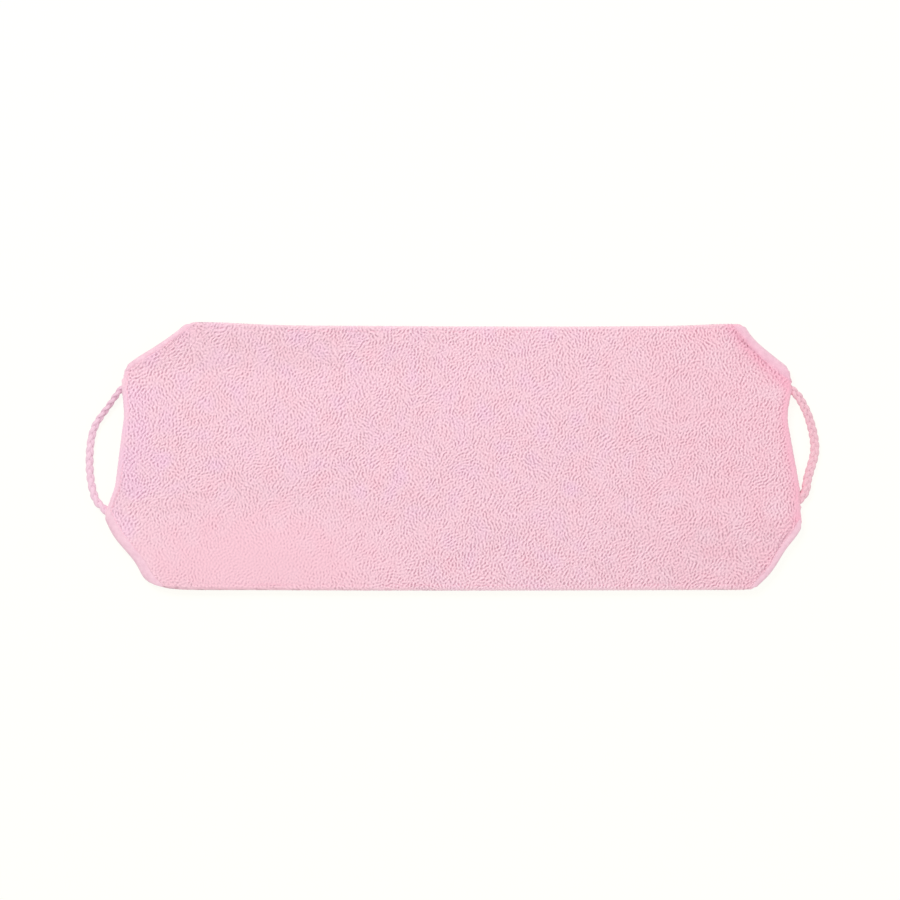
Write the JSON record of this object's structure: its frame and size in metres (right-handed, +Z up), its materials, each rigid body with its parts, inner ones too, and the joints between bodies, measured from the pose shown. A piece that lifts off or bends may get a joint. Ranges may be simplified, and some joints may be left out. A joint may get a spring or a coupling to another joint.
{
  "type": "loofah back scrubber",
  "caption": "Flat eight-sided back scrubbing strap with a terry face, a loofah back and a plaited rope hand loop at each end.",
  "frame": {"origin": "middle of the strap's box, on the surface that the loofah back lies on", "axes": "+X along the strap from the left rope loop to the right one, +Y across it towards the long edge with the shorter corner cuts, +Z up out of the terry face"},
  "size_m": [0.5504, 0.198, 0.011],
  "materials": {
    "terry": "pink cotton terry with a short dense looped pile",
    "loofah": "pressed natural loofah fibre, open and coarse",
    "tape": "smooth pink cotton tape, pressed flat",
    "thread": "pink polyester sewing thread",
    "rope": "soft plaited three-strand cotton rope, slightly fuzzy"
  },
  "bodies": {
    "left_half": {"terry_face_left": "terry", "loofah_left": "loofah", "tape_upper_left": "tape", "tape_lower_left": "tape", "stitching_left": "thread", "rope_end_upper_left": "rope", "rope_end_lower_left": "rope", "tack_upper_left": "thread", "tack_lower_left": "thread"},
    "right_half": {"terry_face_right": "terry", "loofah_right": "loofah", "tape_upper_right": "tape", "tape_lower_right": "tape", "stitching_right": "thread", "rope_end_upper_right": "rope", "rope_end_lower_right": "rope", "tack_upper_right": "thread", "tack_lower_right": "thread"},
    "left_handle": {"rope_loop_left": "rope"},
    "right_handle": {"rope_loop_right": "rope"}
  },
  "joints": [
    {"name": "panel_fold", "type": "hinge", "parent": "left_half", "child": "right_half", "pos_m": [0, 0, 0.011], "axis": [0, -1, 0], "range_deg": [0, 160]},
    {"name": "left_handle_swing", "type": "hinge", "parent": "left_half", "child": "left_handle", "pos_m": [-0.259, 0.0065, 0.0052], "axis": [0.1253, 0.9921, 0], "range_deg": [0, 110]},
    {"name": "right_handle_swing", "type": "hinge", "parent": "right_half", "child": "right_handle", "pos_m": [0.262, 0.01075, 0.0052], "axis": [0.0816, -0.9967, 0], "range_deg": [0, 110]}
  ]
}
